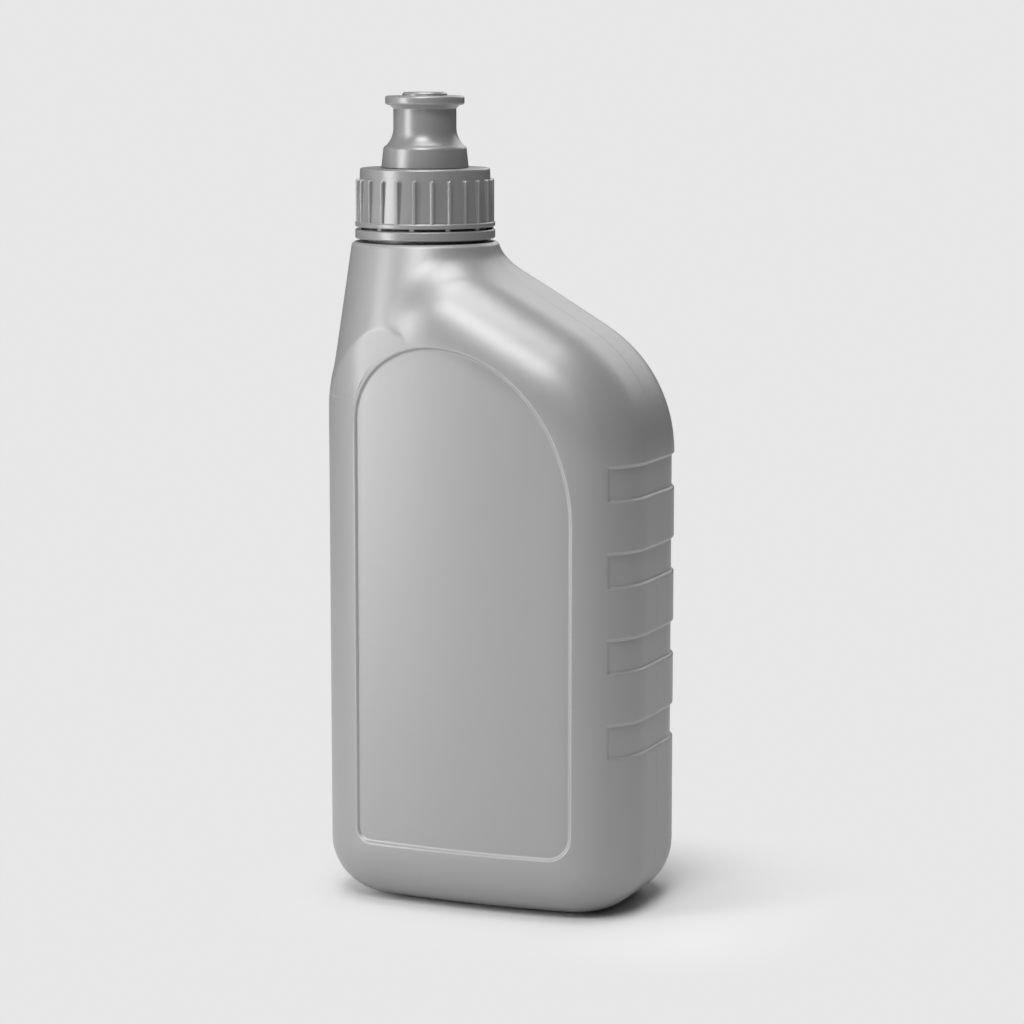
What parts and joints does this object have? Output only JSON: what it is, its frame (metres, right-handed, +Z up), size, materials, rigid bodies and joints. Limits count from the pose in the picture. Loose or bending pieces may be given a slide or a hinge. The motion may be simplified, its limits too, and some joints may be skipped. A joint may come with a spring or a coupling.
{
  "type": "motor oil bottle",
  "caption": "Empty blow-moulded oil bottle with an offset neck, recessed label faces, grip recesses and a screw cap with a push-pull spout.",
  "frame": {"origin": "on the surface that the bottle stands on, under the middle of its bounding box", "axes": "+Z up along the neck; +X towards the grip side, away from the neck; -Y and +Y face the two labels"},
  "size_m": [0.1034, 0.0684, 0.2488],
  "materials": {
    "bottle_plastic": "satin grey polyethylene",
    "cap_plastic": "satin grey polypropylene",
    "seal_foam": "white foamed liner"
  },
  "bodies": {
    "body": {"bottle": "bottle_plastic", "tamper_band": "cap_plastic"},
    "seal": {"cap_seal": "seal_foam"},
    "cap": {"screw_cap": "cap_plastic"},
    "spout": {"nozzle": "cap_plastic"}
  },
  "joints": [
    {"name": "cap_lift", "type": "slide", "parent": "body", "child": "seal", "axis": [0, 0, 1], "range_m": [0, 0.00634]},
    {"name": "cap_turn", "type": "hinge", "parent": "seal", "child": "cap", "pos_m": [-0.0255, 0, 0.215], "axis": [0, 0, 1], "range_deg": [0, 540]},
    {"name": "nozzle_pull", "type": "slide", "parent": "cap", "child": "spout", "axis": [0, 0, 1], "range_m": [0, 0.006]}
  ],
  "couplings": [
    {"joint": "cap_lift", "follows": "cap_turn", "m_per_rad": 0.00067322}
  ]
}
